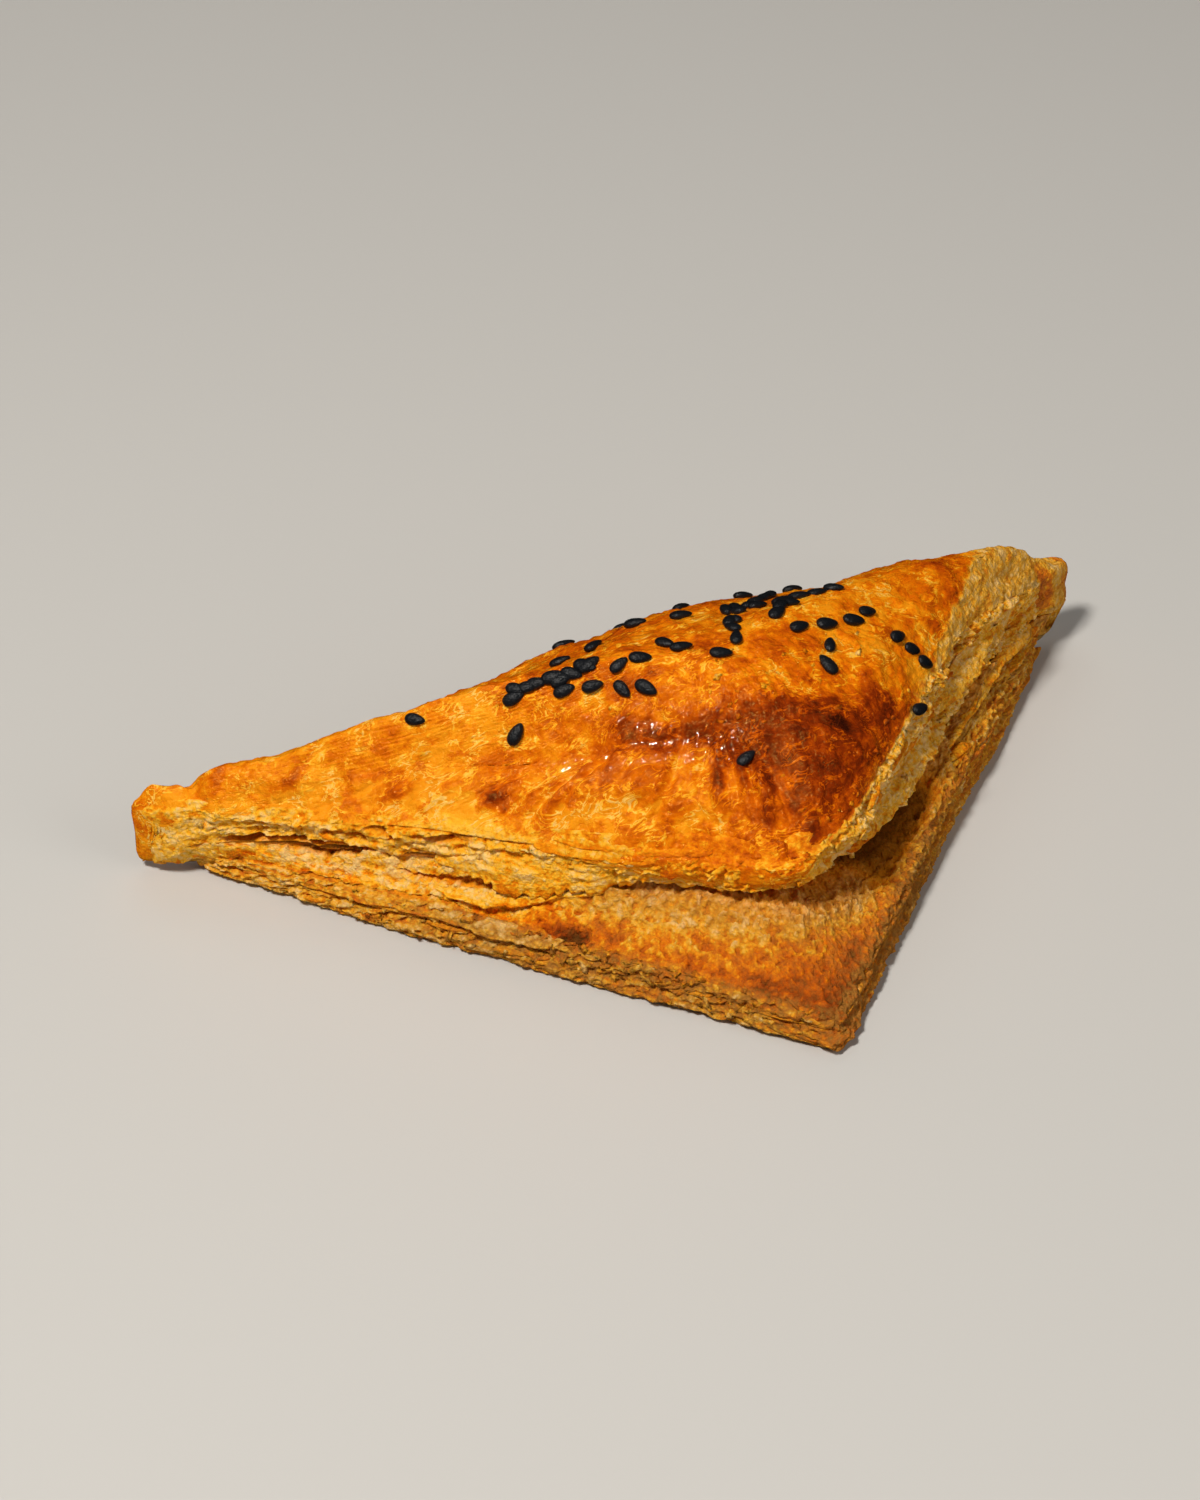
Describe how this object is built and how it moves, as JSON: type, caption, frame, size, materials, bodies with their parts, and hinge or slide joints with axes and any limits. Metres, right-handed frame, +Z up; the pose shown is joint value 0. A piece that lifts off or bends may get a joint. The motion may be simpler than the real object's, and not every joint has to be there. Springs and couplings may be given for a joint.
{
  "type": "sausage puff pastry",
  "caption": "Baked triangular turnover of layered dough, folded on its long side, with a puffed glazed lid, two flaky cut sides and black sesame seeds.",
  "frame": {"origin": "under the middle of the pastry's box, on the surface that it lies on", "axes": "+X along the fold towards the tip that is right of the cut corner, +Y from the right-angled front corner towards the fold, +Z up"},
  "size_m": [0.1374, 0.0692, 0.0359],
  "materials": {
    "glazed_crust": "egg-glazed and baked golden brown, semi-gloss on the lid",
    "flaky_crumb": "dry pale layered dough on the cut sides",
    "black_sesame": "satin seed coat"
  },
  "bodies": {
    "root": {"puff_pastry": "glazed_crust"}
  },
  "joints": []
}
